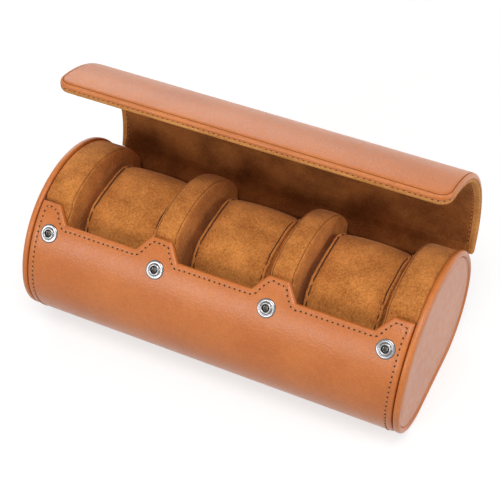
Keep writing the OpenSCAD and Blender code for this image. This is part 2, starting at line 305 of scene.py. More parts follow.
def fill_inside(ring, across, along):
    """Triangles inside a ring with an even net of points: the new points, and the faces over all."""
    lowest = min(p.y for p in ring)
    span = max(p.y for p in ring) - lowest
    inside = []
    margin = 0.45 * min(across, along)
    rows = int(span / along) + 1
    for j in range(1, rows):
        s = lowest + span * j / rows
        hits = sorted(
            p.x + (s - p.y) * (q.x - p.x) / (q.y - p.y)
            for p, q in zip(ring, ring[1:] + ring[:1]) if (p.y > s) != (q.y > s))
        for x0, x1 in zip(hits[::2], hits[1::2]):
            columns = int((x1 - x0) / across) + 1
            room = x1 - x0 - 2 * margin
            for i in range(columns + 1):
                spot = Vector((x0 + margin + room * i / columns, s))
                if room > 0 and all((p - spot).length_squared > margin ** 2 / 2 for p in ring):
                    inside.append(spot)
    n = len(ring)
    edges = [(i, (i + 1) % n) for i in range(n)]
    verts, _, faces, sources, _, _ = delaunay_2d_cdt(ring + inside, edges, [list(range(n))], 1, 1e-7)
    whence = [src[0] if src else None for src in sources]
    extra = [verts[i] for i, w in enumerate(whence) if w is None]
    order, k = {}, n + len(inside)
    for i, w in enumerate(whence):
        if w is None:
            order[i] = k
            k += 1
        else:
            order[i] = w
    return inside + extra, [[order[i] for i in f] for f in faces]


def sheet(name, corners, profile, place, across=4.0, along=3.0):
    """A closed sheet: its edge follows profile, (inset, depth) from the hidden face to the shown one."""
    rings = [outline(corners, inset) for inset, _ in profile]
    n = len(rings[0])
    verts, faces = [], []
    for ring, (_, depth) in zip(rings, profile):
        verts += [place(p.x, p.y, depth) for p in ring]
    for k in range(len(rings) - 1):
        for i in range(n):
            j = (i + 1) % n
            faces.append([k * n + i, k * n + j, (k + 1) * n + j, (k + 1) * n + i])
    for k in (0, len(rings) - 1):
        inside, triangles = fill_inside(rings[k], across, along)
        first = len(verts)
        verts += [place(p.x, p.y, profile[k][1]) for p in inside]
        for t in triangles:
            faces.append([k * n + i if i < n else first + i - n for i in t])
    return mesh_of(name, verts, faces)


def ring_faces(rows, n, closed=False):
    """Quads between rows of n points each."""
    faces = []
    for k in range(rows if closed else rows - 1):
        for i in range(n):
            j = (i + 1) % n
            m = (k + 1) % rows
            faces.append([k * n + i, k * n + j, m * n + j, m * n + i])
    return faces


def lathe(profile, places, turns=40):
    """A turned piece, (radius, height) from its axis and back, put at each place."""
    verts, faces = [], []
    for place in places:
        rows = []
        for r, h in profile:
            if r == 0:
                rows.append([len(verts)])
                verts.append(place @ Vector((0, 0, h * MM)))
                continue
            rows.append(list(range(len(verts), len(verts) + turns)))
            for i in range(turns):
                a = 2 * pi * i / turns
                verts.append(place @ Vector((r * cos(a) * MM, r * sin(a) * MM, h * MM)))
        for low, high in zip(rows, rows[1:]):
            for i in range(turns):
                j = (i + 1) % turns
                quad = [low[i % len(low)], low[j % len(low)], high[j % len(high)], high[i % len(high)]]
                faces.append([v for k, v in enumerate(quad) if v not in quad[:k]])
    return verts, faces


# Materials

class Shade:
    """A socket in a material's tree. Sums and products of these add Math nodes."""

    def __init__(self, tree, socket):
        self.tree = tree
        self.socket = socket

    def node(self, kind, out=0, props=(), **inputs):
        """Adds a node of that kind; inputs are given by socket name, with _ for a space."""
        made = self.tree.nodes.new(kind)
        for key, value in dict(props).items():
            setattr(made, key, value)
        for key, value in inputs.items():
            key = key.replace("_", " ")
            slot = made.inputs[int(key[1:])] if key[0] == "i" and key[1:].isdigit() else made.inputs[key]
            self.feed(value, slot)
        return Shade(self.tree, made.outputs[out])

    def feed(self, value, slot):
        if isinstance(value, Shade):
            self.tree.links.new(value.socket, slot)
        else:
            slot.default_value = value

    def maths(self, operation, other):
        made = self.tree.nodes.new("ShaderNodeMath")
        made.operation = operation
        self.feed(self, made.inputs[0])
        self.feed(other, made.inputs[1])
        return Shade(self.tree, made.outputs[0])

    def __add__(self, other):
        return self.maths("ADD", other)

    def __mul__(self, other):
        return self.maths("MULTIPLY", other)

    def between(self, low, high, out_low=0.0, out_high=1.0):
        """This value taken from low..high to out_low..out_high, and held there outside it."""
        return self.node(
            "ShaderNodeMapRange", Value=self, From_Min=low, From_Max=high,
            To_Min=out_low, To_Max=out_high)

    def blend(self, first, second):
        """Colour first where this is 0, second where it is 1."""
        return self.node(
            "ShaderNodeMix", out=2, props={"data_type": "RGBA"}, i0=self, i6=first, i7=second)


def start_material(name):
    """A material with a Principled shader, its tree's object coordinates and the shader."""
    material = bpy.data.materials.new(name)
    material.use_nodes = True
    tree = material.node_tree
    shader = tree.nodes["Principled BSDF"]
    where = tree.nodes.new("ShaderNodeTexCoord")
    return material, shader, Shade(tree, where.outputs["Object"])


def connect(shader, **values):
    """Sets a shader's inputs by name, with _ for a space."""
    for key, value in values.items():
        slot = shader.inputs[key.replace("_", " ")]
        if isinstance(value, Shade):
            value.tree.links.new(value.socket, slot)
        else:
            slot.default_value = value


def cloud(where, scale, detail=3.0, rough=0.5):
    """Soft noise over a piece."""
    return where.node("ShaderNodeTexNoise", Vector=where, Scale=scale, Detail=detail, Roughness=rough)


def leather(name, dark, light, shine=0.33):
    """Smooth coated leather: fine pebble, a few soft clouds in the dye, and a semi-gloss coat."""
    material, shader, where = start_material(name)
    pebble = where.node(
        "ShaderNodeTexVoronoi", props={"feature": "SMOOTH_F1"},
        Vector=where, Scale=950.0, Smoothness=0.6)
    fine = cloud(where, 2600.0, 2.0)
    dye = cloud(where, 34.0, 4.0)
    patch = cloud(where, 240.0, 3.0)
    tone = (dye * 0.65 + patch * 0.35).between(0.34, 0.66)
    height = pebble * 0.7 + fine * 0.3
    colour = tone.blend((*dark, 1), (*light, 1))
    # Darker in the grain's hollows and lighter on its tops.
    grain_tone = height.between(0.15, 0.6, 0.9, 1.05)
    grain_tint = where.node("ShaderNodeCombineColor", i0=grain_tone, i1=grain_tone, i2=grain_tone)
    colour = where.node(
        "ShaderNodeMix", out=2, props={"data_type": "RGBA", "blend_type": "MULTIPLY"},
        i0=1.0, i6=colour, i7=grain_tint)
    bump = where.node("ShaderNodeBump", Strength=0.5, Distance=0.0003, Height=height)
    roughness = patch.between(0.3, 0.7, shine - 0.05, shine + 0.09)
    connect(shader, Base_Color=colour, Roughness=roughness, Normal=bump)
    shader.inputs["Specular IOR Level"].default_value = 0.36
    shader.inputs["Coat Weight"].default_value = 0.22
    shader.inputs["Coat Roughness"].default_value = 0.3
    return material


def suede(name, dark, light, cloudy=1.0):
    """Microsuede: a short nap that lies one way here and the other there, with a soft sheen."""
    material, shader, where = start_material(name)
    brushed = cloud(where, 75.0 / cloudy, 3.0, 0.55)
    nap = cloud(where, 820.0, 3.0, 0.7)
    fibre = cloud(where, 1900.0, 2.0, 0.7)
    clouds = brushed.between(0.5 - 0.17 / cloudy, 0.5 + 0.17 / cloudy)
    grain = (nap * 0.55 + fibre * 0.45).between(0.4, 0.6)
    tone = clouds * (0.45 * cloudy) + grain * (1 - 0.45 * cloudy)
    bump = where.node("ShaderNodeBump", Strength=0.75, Distance=0.0005, Height=nap * 0.6 + fibre * 0.4)
    connect(
        shader,
        Base_Color=tone.blend((*dark, 1), (*light, 1)),
        Roughness=grain.between(0, 1, 0.82, 1.0),
        Normal=bump,
    )
    shader.inputs["Specular IOR Level"].default_value = 0.15
    shader.inputs["Sheen Weight"].default_value = 0.22
    shader.inputs["Sheen Roughness"].default_value = 0.55
    shader.inputs["Sheen Tint"].default_value = (1.0, 0.62, 0.34, 1)
    return material


def plain(name, colour, roughness, metallic=0.0, scale=400.0, wear=0.08, bump_mm=0.02):
    """A finish with a slight change of tone and roughness over it."""
    material, shader, where = start_material(name)
    spots = cloud(where, scale, 3.0)
    low = tuple(c * (1 - wear) for c in colour)
    connect(
        shader,
        Base_Color=spots.between(0.3, 0.7).blend((*low, 1), (*colour, 1)),
        Roughness=spots.between(0.3, 0.7, roughness * 0.85, roughness * 1.2),
        Normal=where.node("ShaderNodeBump", Strength=0.3, Distance=bump_mm * MM, Height=spots),
    )
    shader.inputs["Metallic"].default_value = metallic
    return material


TAN_LEATHER = leather("tan_leather", (0.55, 0.147, 0.026), (0.64, 0.192, 0.041))
EDGE_LEATHER = leather("turned_edge_leather", (0.56, 0.155, 0.028), (0.66, 0.203, 0.043), 0.35)
GOLD_SUEDE = suede("golden_suede", (0.33, 0.098, 0.017), (0.84, 0.325, 0.078))
# The lining suede is darker than the golden suede: partly its own tone, partly painted shade where it
# lies inside the case and under the lid.
LINING_SUEDE_SHADED = suede("lining_suede_painted_shade", (0.2, 0.058, 0.0115), (0.52, 0.182, 0.044), 1.35)
EDGE_SUEDE = suede("rolled_suede_edge", (0.52, 0.19, 0.042), (0.92, 0.43, 0.13))
# Dark tubes in the cushions' seam gaps: painted shadow in the crease beside each ridge.
SEAM_SHADOW = plain("seam_shadow", (0.10, 0.030, 0.008), 0.9)
# Dark lines of painted shade in the pads' pressed seams and in the lid's crease.
PRESSED_SEAM_SHADE = plain("pressed_seam_shade", (0.27, 0.085, 0.018), 0.95, scale=900.0)
THREAD = plain("thread", (0.66, 0.27, 0.09), 0.55, scale=1500.0)
# Flat dark discs at the needle holes: painted shade in the holes.
NEEDLE_HOLE_SHADE = plain("needle_hole_shade", (0.05, 0.014, 0.004), 0.95)
CHROME = plain("chrome", (0.27, 0.27, 0.275), 0.16, metallic=1.0, scale=700.0, wear=0.04, bump_mm=0.004)
# Near-black metal for the socket wells: painted shade in the hole.
SHADED_WELL_METAL = plain("snap_inside_painted_shade", (0.05, 0.044, 0.036), 0.3, metallic=1.0, scale=900.0)
# Near-black steel for the snaps' rims and holes: painted dark reflection round the rim, painted shade in
# the hole.
STEEL_DARK_REFLECTION = plain("steel_painted_dark_reflection", (0.04, 0.04, 0.043), 0.25, metallic=1.0, scale=900.0)
# Dark brown board: partly the board's own colour, partly painted shade where the cap boards show between
# pad and rim.
BOARD_PARTLY_SHADED = plain("brown_board_painted_shade", (0.16, 0.075, 0.03), 0.9, scale=900.0)


# Stitches

def stitch_tree():
    """Geometry nodes that sew along a path: a thread and a needle hole at each pitch, the hole a flat
    dark disc of painted shade.
    """
    tree = bpy.data.node_groups.new("sewing", "GeometryNodeTree")
    face = tree.interface
    face.new_socket("Path", in_out="INPUT", socket_type="NodeSocketGeometry")
    for name in ("Pitch", "Thread", "Hole"):
        face.new_socket(name, in_out="INPUT", socket_type="NodeSocketFloat")
    for name in ("Thread finish", "Hole shade finish"):
        face.new_socket(name, in_out="INPUT", socket_type="NodeSocketMaterial")
    face.new_socket("Sewing", in_out="OUTPUT", socket_type="NodeSocketGeometry")
    nodes, link = tree.nodes, tree.links.new
    start, end = nodes.new("NodeGroupInput"), nodes.new("NodeGroupOutput")

    def made(kind, **props):
        node = nodes.new(kind)
        for key, value in props.items():
            setattr(node, key, value)
        return node

    def times(socket, factor):
        node = made("ShaderNodeMath", operation="MULTIPLY")
        link(socket, node.inputs[0])
        node.inputs[1].default_value = factor
        return node.outputs[0]

    def point(x=None, z=None):
        node = made("ShaderNodeCombineXYZ")
        if x is not None:
            link(x, node.inputs["X"])
        if z is not None:
            link(z, node.inputs["Z"])
        return node.outputs[0]

    curve = made("GeometryNodeMeshToCurve")
    link(start.outputs["Path"], curve.inputs["Mesh"])
    spaced = made("GeometryNodeResampleCurve", mode="LENGTH")
    link(curve.outputs[0], spaced.inputs["Curve"])
    link(start.outputs["Pitch"], spaced.inputs["Length"])
    up = made("GeometryNodeInputNamedAttribute", data_type="FLOAT_VECTOR")
    up.inputs["Name"].default_value = "up"
    along = made("GeometryNodeInputTangent")
    turn = made("FunctionNodeAxesToRotation", primary_axis="Z", secondary_axis="X")
    link(up.outputs["Attribute"], turn.inputs["Primary Axis"])
    link(along.outputs[0], turn.inputs["Secondary Axis"])
    pitch, thick, hole = start.outputs["Pitch"], start.outputs["Thread"], start.outputs["Hole"]
    reach, sunk, rise = 0.32, -0.3, 0.9
    arch = made("GeometryNodeCurveQuadraticBezier")
    arch.inputs["Resolution"].default_value = 6
    link(point(times(pitch, -reach), times(thick, sunk)), arch.inputs["Start"])
    link(point(None, times(thick, rise)), arch.inputs["Middle"])
    link(point(times(pitch, reach), times(thick, sunk)), arch.inputs["End"])
    section = made("GeometryNodeCurvePrimitiveCircle")
    section.inputs["Resolution"].default_value = 8
    link(times(thick, 0.5), section.inputs["Radius"])
    thread = made("GeometryNodeCurveToMesh")
    link(arch.outputs[0], thread.inputs["Curve"])
    link(section.outputs[0], thread.inputs["Profile Curve"])
    thread.inputs["Fill Caps"].default_value = True
    # The hole is a flat dark disc: painted shade.
    disc = made("GeometryNodeMeshCircle", fill_type="NGON")
    disc.inputs["Vertices"].default_value = 12
    link(hole, disc.inputs["Radius"])
    moved = made("GeometryNodeTransform")
    link(disc.outputs[0], moved.inputs["Geometry"])
    link(point(times(pitch, 0.5), times(thick, 0.09)), moved.inputs["Translation"])
    moved.inputs["Scale"].default_value = (1.75, 0.9, 1)
    finishes = []
    for geometry, name in ((thread, "Thread finish"), (moved, "Hole shade finish")):
        node = made("GeometryNodeSetMaterial")
        link(geometry.outputs[0], node.inputs["Geometry"])
        link(start.outputs[name], node.inputs["Material"])
        finishes.append(node)
    one = made("GeometryNodeJoinGeometry")
    for node in finishes:
        link(node.outputs[0], one.inputs[0])
    row = made("GeometryNodeInstanceOnPoints")
    link(spaced.outputs[0], row.inputs["Points"])
    link(one.outputs[0], row.inputs["Instance"])
    link(turn.outputs[0], row.inputs["Rotation"])
    real = made("GeometryNodeRealizeInstances")
    link(row.outputs[0], real.inputs[0])
    link(real.outputs[0], end.inputs[0])
    return tree


SEWING = stitch_tree()


def sew(name, path, body, pitch=2.75, thread=0.52, hole=0.46):
    """Stitches along an open path of (point, outward direction)."""
    mesh = bpy.data.meshes.new(name)
    edges = [(i, i + 1) for i in range(len(path) - 1)]
    mesh.from_pydata([p for p, _ in path], edges, [])
    up = mesh.attributes.new("up", "FLOAT_VECTOR", "POINT")
    for i, (_, outward) in enumerate(path):
        up.data[i].vector = outward
    row = bpy.data.objects.new(name + "_path", mesh)
    bpy.context.scene.collection.objects.link(row)
    modifier = row.modifiers.new("sewing", "NODES")
    modifier.node_group = SEWING
    values = {
        "Pitch": pitch * MM, "Thread": thread * MM, "Hole": hole * MM,
        "Thread finish": THREAD, "Hole shade finish": NEEDLE_HOLE_SHADE}
    for item in SEWING.interface.items_tree:
        if item.in_out == "INPUT" and item.name in values:
            modifier[item.identifier] = values[item.name]
    bpy.context.view_layer.update()
    done = baked(row)
    bpy.data.objects.remove(row)
    done.name = name
    return finish_piece(name, done, None, body)


def surface_path(points, place, depth):
    """A path on a sheet's outer face, with its outward directions."""
    made = []
    for p in points:
        here = place(p.x, p.y, depth)
        made.append((here, (place(p.x, p.y, depth - 1) - here).normalized()))
    return made


def off_hinge(points, s_hinge, margin=5.5):
    """The part of a closed outline that stays clear of the hinge side, as an open path."""
    keep = [abs(p.y - s_hinge) > margin for p in points]
    first = next(i for i in range(len(points)) if keep[i] and not keep[i - 1])
    path = []
    for k in range(len(points)):
        i = (first + k) % len(points)
        if not keep[i]:
            break
        path.append(points[i])
    return path


# Wall of the case

def wrap_corners(end=WALL_X, tab=0.9, valley=0.6):
    """Flat pattern of the wrap: tabs and notches along the front edge, square ends at the rear."""
    base, top = DIVIDER_X + TAB_BASE, DIVIDER_X + TAB_TOP
    near_base, near_top = DIVIDER_X - TAB_BASE, DIVIDER_X - TAB_TOP
    right = [
        (near_base, NOTCH_DROP, valley), (near_top, 0, tab), (top, 0, tab), (base, NOTCH_DROP, valley),
        (END_TAB_BASE, NOTCH_DROP, valley), (END_TAB_TOP, 0, tab), (end, 0, 0.8), (end, WRAP_LEN, 0.3)]
    left = [(-x, s, r) for x, s, r in reversed(right)]
    return left + right


def make_wall():
    """The wrap, its lining, and the row of stitches along the wrap's edge."""
    corners = wrap_corners()
    outer = [
        (0.0, 2.7), (0.0, 1.7), (0.12, 1.0), (0.4, 0.45), (0.85, 0.14), (1.5, 0.0), (2.3, 0.01),
        (2.9, 0.07), (3.5, 0.07), (4.2, 0.0)]
    wrap = sheet("leather_wrap", corners, outer, on_wrap)
    finish_piece("leather_wrap", wrap, TAN_LEATHER, "case", ["body_leather"])
    inner = [(0.5, 2.8), (0.1, 2.85), (0.0, 3.1), (0.15, 3.42), (0.5, 3.58), (1.2, 3.6)]
    lining = sheet("wall_lining", corners, inner, on_wrap)
    finish_piece("wall_lining", lining, LINING_SUEDE_SHADED, "case", ["body_lining"])
    sewn = off_hinge(outline(wrap_corners(WALL_X - 0.2), ROW_IN), WRAP_LEN)
    sew("wrap_stitches", surface_path(sewn, on_wrap, 0.02), "case")


# End caps

def dee_loft(name, rows, closed, fill, count=240):
    """Rows of (depth, x) carried round the section's outline."""
    verts = []
    for depth, x in rows:
        for i in range(count):
            a = -180 + 360 * i / count
            y, z = on_circle(dee_reach(a, depth), a)
            verts.append(at(x, y, z))
    faces = ring_faces(len(rows), count, closed)
    if fill:
        faces.append(list(range(count))[::-1])
        faces.append([(len(rows) - 1) * count + i for i in range(count)])
    return mesh_of(name, verts, faces)


def make_caps():
    """At each end a rolled rim, as (depth, distance past the wall), and a flat panel, as (depth, x)."""
    bead = [
        (3.5, 0.1), (0.9, 0.1), (0.4, 0.3), (0.14, 0.8), (0.08, 1.5), (0.16, 2.2), (0.45, 2.8),
        (0.95, 3.2), (1.6, 3.4), (2.3, 3.25), (2.9, 2.85), (3.3, 2.3), (3.5, 1.6)]
    face = [
        (3.4, 103.6), (3.4, 104.1), (3.6, 104.35), (4.1, 104.5), (4.7, 104.46), (5.1, 104.3),
        (5.5, 104.47), (6.4, 104.6), (9.0, 104.62)]
    for name, way in (("left", -1), ("right", 1)):
        rim = dee_loft(f"{name}_rim", [(depth, way * (RIM_X + x)) for depth, x in bead], True, False)
        finish_piece(f"{name}_rim", rim, EDGE_LEATHER, "case", [f"{name}_cap_rim"])
        panel = dee_loft(f"{name}_cap_panel", [(depth, way * x) for depth, x in face], False, True)
        finish_piece(
            f"{name}_cap_panel", panel, TAN_LEATHER, "case", [f"{name}_cap_leather"])


# Pads and dividers

def ease(low, high, value):
    """0 below low, 1 above high, and a smooth rise between them."""
    u = min(1, max(0, (value - low) / (high - low)))
    return u * u * (3 - 2 * u)


def pad_reach(a, inset):
    """Reach of a pad: inside the wall below, and up to the shut lid above the wall's edges."""
    raised = ease(REAR_A + 5, REAR_A + 11, a) * (1 - ease(TAB_A - 3.4, TAB_A - 0.8, a))
    inside = dee_reach(a, WALL_T + PAD_GAP)
    return inside + (PAD_R - inside) * raised - inset


def pad_loft(name, stations, count=200):
    """Stations of (x, inset, share of the reach), from the middle of one face to that of the other."""
    verts = []
    for k, (x, inset, share) in enumerate(stations):
        for i in range(count):
            a = -180 + 360 * i / count
            y, z = on_circle(pad_reach(a, inset) * share, a)
            ripple = noise.noise(Vector((x * 0.11, y * 0.07, z * 0.07))) * 0.2
            push = 1 - ripple / 50
            verts.append(at(x + (ripple if share < 0.97 else 0), y * push, z * push))
    faces = ring_faces(len(stations), count)
    faces.append(list(range(count))[::-1])
    faces.append([(len(stations) - 1) * count + i for i in range(count)])
    return mesh_of(name, verts, faces)


def pad_side(x, way, bulge=0.9):
    """Stations from the middle of a domed face over its pressed seam to the strip along the edge."""
    face = [(1, 0, 0.05), (0.97, 0, 0.3), (0.85, 0, 0.6), (0.6, 0, 0.82), (0.3, 3.6, 1)]
    edge = [
        (0.02, 2.0), (-0.28, 1.2), (-0.62, 0.78), (-0.92, 0.98), (-1.12, 1.0), (-1.4, 0.52),
        (-1.9, 0.3), (-2.8, 0.14), (-4.2, 0.04)]
    stations = [(x + way * bulge * rise, inset, share) for rise, inset, share in face]
    return stations + [(x + way * past, inset, 1) for past, inset in edge]


def pad_seam_shade(name, x, inset=0.86, count=200):
    """A dark line of painted shade round a pad, where the groove of its pressed seam runs."""
    points = []
    for i in range(count):
        a = -180 + 360 * i / count
        points.append(at(x, *on_circle(pad_reach(a, inset), a)))
    mesh = seam_tube(name, points, 0.2 * MM, 6)
    finish_piece(name, mesh, PRESSED_SEAM_SHADE, "case")


def make_pad(name, stations, covered):
    """One padded piece over the cover and core of its part."""
    nodes = [f"{covered}_cover", f"{covered}_core"]
    pad = finish_piece(name, pad_loft(name, stations), GOLD_SUEDE, "case", nodes)


def make_pads():
    """A pad at each end and two dividers, each with painted shade lines along its pressed seams."""
    half = DIVIDER_T / 2
    for name, way in (("left", -1), ("right", 1)):
        shown = pad_side(way * PAD_X, -way)
        flat = [(way * (PAD_END - 0.5), 0.0, 1), (way * PAD_END, 0.35, 1), (way * PAD_END, 0.35, 0.5)]
        make_pad(f"{name}_end_pad", shown + flat, f"{name}_pad")
        pad_seam_shade(f"{name}_pad_seam_shade", way * (PAD_X + SEAM_IN))
        middle = way * DIVIDER_X
        low = pad_side(middle - half, -1, 0.7)
        high = pad_side(middle + half, 1, 0.7)
        make_pad(f"{name}_divider", low + high[::-1], f"{name}_divider")
        pad_seam_shade(f"{name}_divider_left_seam_shade", middle - half + SEAM_IN)
        pad_seam_shade(f"{name}_divider_right_seam_shade", middle + half - SEAM_IN)


# Cushions

def cushion_outline(inset):
    """Rounded oblong of the cushion's section, drawn in by inset."""
    y0, y1 = CUSHION_BACK - CUSHION_D + CUSHION_R, CUSHION_BACK - CUSHION_R
    z0, z1 = CUSHION_LOW + CUSHION_R, CUSHION_LOW + CUSHION_H - CUSHION_R
    r = CUSHION_R - inset
    corners = [(y1, z0), (y1, z1), (y0, z1), (y0, z0)]
    on_side = 6
    on_corner = CUSHION_RING // 4 - on_side
    points = []
    for k, (y, z) in enumerate(corners):
        next_y, next_z = corners[(k + 1) % 4]
        for j in range(on_corner):
            a = radians(-90 + 90 * k + 90 * j / (on_corner - 1))
            points.append((y + r * cos(a), z + r * sin(a)))
        a = radians(90 * k)
        for j in range(1, on_side + 1):
            share = j / (on_side + 1)
            points.append((
                y + (next_y - y) * share + r * cos(a), z + (next_z - z) * share + r * sin(a)))
    return points


def cushion_shell(smaller):
    """Crowned cushion about x = 0, smaller all round by that much."""
    half = CUSHION_W / 2 - smaller
    steps = [
        (half, 22), (half, 14), (half, 6), (half - 0.3, 3.4), (half - 1.0, 2.2), (half - 2.2, 1.5),
        (half - 4.5, 1.05), (half - 8, 0.65), (half - 13, 0.3), (half - 18, 0.08)]
    rows = [(-x, inset) for x, inset in steps] + [(0, 0)] + steps[::-1]
    verts = []
    for x, inset in rows:
        verts += [at(x, y, z) for y, z in cushion_outline(inset + smaller)]
    faces = ring_faces(len(rows), CUSHION_RING)
    faces.append(list(range(CUSHION_RING))[::-1])
    faces.append([(len(rows) - 1) * CUSHION_RING + i for i in range(CUSHION_RING)])
    return mesh_of("cushion_shell", verts, faces)


def puff(mesh, cap, voxel=4.5, frames=20):
    """Swells a cover with air pressure in a cloth simulation; no point moves further than cap."""
    scene = bpy.context.scene
    piece = bpy.data.objects.new("puffing", mesh)
    scene.collection.objects.link(piece)
    remesh = piece.modifiers.new("voxels", "REMESH")
    remesh.mode = "VOXEL"
    remesh.voxel_size = voxel * MM
    bpy.context.view_layer.update()
    even = baked(piece)
    piece.modifiers.clear()
    piece.data = even
    before = [v.co.copy() for v in even.vertices]
    cloth = piece.modifiers.new("cloth", "CLOTH")
    cloth.settings.use_pressure = True
    cloth.settings.uniform_pressure_force = 4
    cloth.settings.effector_weights.gravity = 0
    cloth.settings.quality = 5
    cloth.point_cache.frame_end = frames
    for number in range(1, frames + 1):
        scene.frame_set(number)
    swollen = baked(piece)
    piece.modifiers.clear()
    scene.frame_set(1)
    for vert, old in zip(swollen.vertices, before):
        move = vert.co - old
        if move.length > cap * MM:
            vert.co = old + move.normalized() * cap * MM
    piece.data = swollen
    smooth = piece.modifiers.new("smooth", "SUBSURF")
    smooth.levels = smooth.render_levels = 1
    bpy.context.view_layer.update()
    done = baked(piece)
    bpy.data.objects.remove(piece)
    return done


def hold_inside(mesh, half, low, high):
    """Keeps a swollen cover inside the space between its neighbours, in heights above the floor."""
    for vert in mesh.vertices:
        vert.co.x = max(-half * MM, min(half * MM, vert.co.x))
        vert.co.z = max(low * MM, min(high * MM, vert.co.z))


def seam_tube(name, points, radius, sides=8):
    """A closed tube through the points, for a sewn ridge or a dark line of painted shade along a seam."""
    verts = []
    n = len(points)
    for i, p in enumerate(points):
        way = (points[(i + 1) % n] - points[i - 1]).normalized()
        side = Vector((1, 0, 0))
        out = way.cross(side).normalized()
        for k in range(sides):
            a = 2 * pi * k / sides
            verts.append(p + side * radius * cos(a) + out * radius * sin(a))
    return mesh_of(name, verts, ring_faces(n, sides, True))


def joined(name, meshes):
    """One mesh from several, with their materials in turn."""
    bm = bmesh.new()
    finishes = []
    for mesh in meshes:
        first = len(bm.faces)
        bm.from_mesh(mesh)
        bm.faces.ensure_lookup_table()
        for face in bm.faces[first:]:
            face.material_index += len(finishes)
        finishes += list(mesh.materials)
    done = bpy.data.meshes.new(name)
    bm.to_mesh(done)
    bm.free()
    for finish in finishes:
        done.materials.append(finish)
    done.shade_smooth()
    return done


def make_cushions():
    """One cushion, swollen and then seamed, for all three bays."""
    smaller_at_first, most_swelling = 1.3, 2.2
    body = puff(cushion_shell(smaller_at_first), most_swelling)
    low = WALL_T + 0.3
    high = CUSHION_LOW + CUSHION_H + CENTRE_H + 0.6
    hold_inside(body, CUSHION_W / 2, low, high)
    body.materials.append(GOLD_SUEDE)
    surface = BVHTree.FromPolygons([v.co for v in body.vertices], [p.vertices for p in body.polygons])
    meshes = [body]
    for way in (-1, 1):
        seam_x = way * (CUSHION_W / 2 - CUSHION_SEAM_IN)
        # The gap tube is dark: painted shadow in the crease beside the ridge.
        for name, inward, radius, finish in (("ridge", 0, 0.9, GOLD_SUEDE), ("gap_shadow", 1.2, 0.42, SEAM_SHADOW)):
            ring = []
            for y, z in cushion_outline(0.6):
                hit, normal, _, _ = surface.find_nearest(at(seam_x - way * inward, y, z))
                ring.append(hit + normal * 0.3 * MM)
            tube = seam_tube(name, ring, radius * MM)
            tube.materials.append(finish)
            meshes.append(tube)
    whole = joined("cushion", meshes)
    for name, x in (("left", -CUSHION_X), ("middle", 0), ("right", CUSHION_X)):
        mesh = whole.copy()
        mesh.transform(Matrix.Translation((x * MM, 0, 0)))
        cushion = finish_piece(
            f"{name}_cushion", mesh, None, f"{name}_cushion",
            [f"{name}_cushion_cover", f"{name}_cushion_core"])


# Lid

def lid_corners():
    """Flat pattern of the lid: square at the hinge, rounded at its free corners."""
    return [
        (-LID_X, 0, 1.0), (LID_X, 0, 1.0),
        (LID_X, LID_LEN, LID_CORNER), (-LID_X, LID_LEN, LID_CORNER)]


def on_lining(x, s, depth):
    """A point of the open lid's lining, which is rolled up thicker along the free edge."""
    roll = ease(LID_LEN - 5.2, LID_LEN - 3.2, s) * max(0, depth - SEAM_DEPTH) / (LID_T - SEAM_DEPTH)
    return on_lid(x, s, depth + EDGE_ROLL * roll)


def make_lid():
    """Leather shell and suede lining with rolled edges, and a row of stitches on each."""
    corners = lid_corners()
    outer = [
        (0.7, SEAM_DEPTH + 0.1), (0.25, SEAM_DEPTH), (0.04, 2.35), (0.0, 1.95), (0.05, 1.55),
        (0.18, 1.12), (0.38, 0.72), (0.66, 0.38), (0.95, 0.16), (1.2, 0.1), (1.36, 0.46),
        (1.54, 0.48), (1.74, 0.06), (3.0, 0.0)]
    shell = finish_piece(
        "lid_leather_shell", sheet("lid_leather_shell", corners, outer, on_lid), TAN_LEATHER,
        "lid", ["lid_leather"])
    turned_rows, crease_shade_rows = (0, 11), (10, 13)
    paint_edge(shell, corners, EDGE_LEATHER, *turned_rows)
    # The crease's groove is painted dark: painted shade.
    paint_edge(shell, corners, PRESSED_SEAM_SHADE, *crease_shade_rows)
    inner = [
        (0.7, SEAM_DEPTH - 0.1), (0.3, SEAM_DEPTH + 0.1), (0.1, SEAM_DEPTH + 0.45), (0.1, 4.0),
        (0.35, 4.5), (0.95, 4.78), (1.9, 4.8), (3.2, 4.76), (3.7, 4.6), (4.1, 4.6), (4.7, 4.78),
        (5.6, 4.8)]
    lining = finish_piece(
        "lid_suede_lining", sheet("lid_suede_lining", corners, inner, on_lining), LINING_SUEDE_SHADED,
        "lid", ["lid_lining"])
    paint_edge(lining, corners, EDGE_SUEDE, 0, 8)
    seam = outline(corners, 0.16)
    path = []
    for p in off_hinge(seam, 0):
        i = seam.index(p)
        way = (seam[(i + 1) % len(seam)] - seam[i - 1]).normalized()
        out = Vector((way.y, -way.x))
        here = on_lid(p.x, p.y, SEAM_DEPTH)
        path.append((here, (on_lid(p.x + out.x, p.y + out.y, SEAM_DEPTH) - here).normalized()))
    sew("lid_edge_stitches", path, "lid", thread=0.4, hole=0.3)
    inside = off_hinge(outline(corners, LINING_ROW_IN), 0)
    path = [(p, -u) for p, u in surface_path(inside, on_lining, LID_T - 0.2)]
    sew("lid_lining_stitches", path, "lid", thread=0.4, hole=0.3)


def paint_edge(piece, corners, finish, first, last):
    """Gives the faces between two rows of a sheet's rolled edge a finish of their own."""
    mesh = piece.data
    mesh.materials.append(finish)
    count = len(outline(corners, 0))
    for face in mesh.polygons:
        if all(first * count <= i < last * count for i in face.vertices):
            face.material_index = len(mesh.materials) - 1


# Hinge

def bezier(points, t):
    """The point at t, from 0 to 1, of a cubic curve."""
    p0, p1, p2, p3 = points
    u = 1 - t
    return p0 * u ** 3 + p1 * 3 * u * u * t + p2 * 3 * u * t * t + p3 * t ** 3


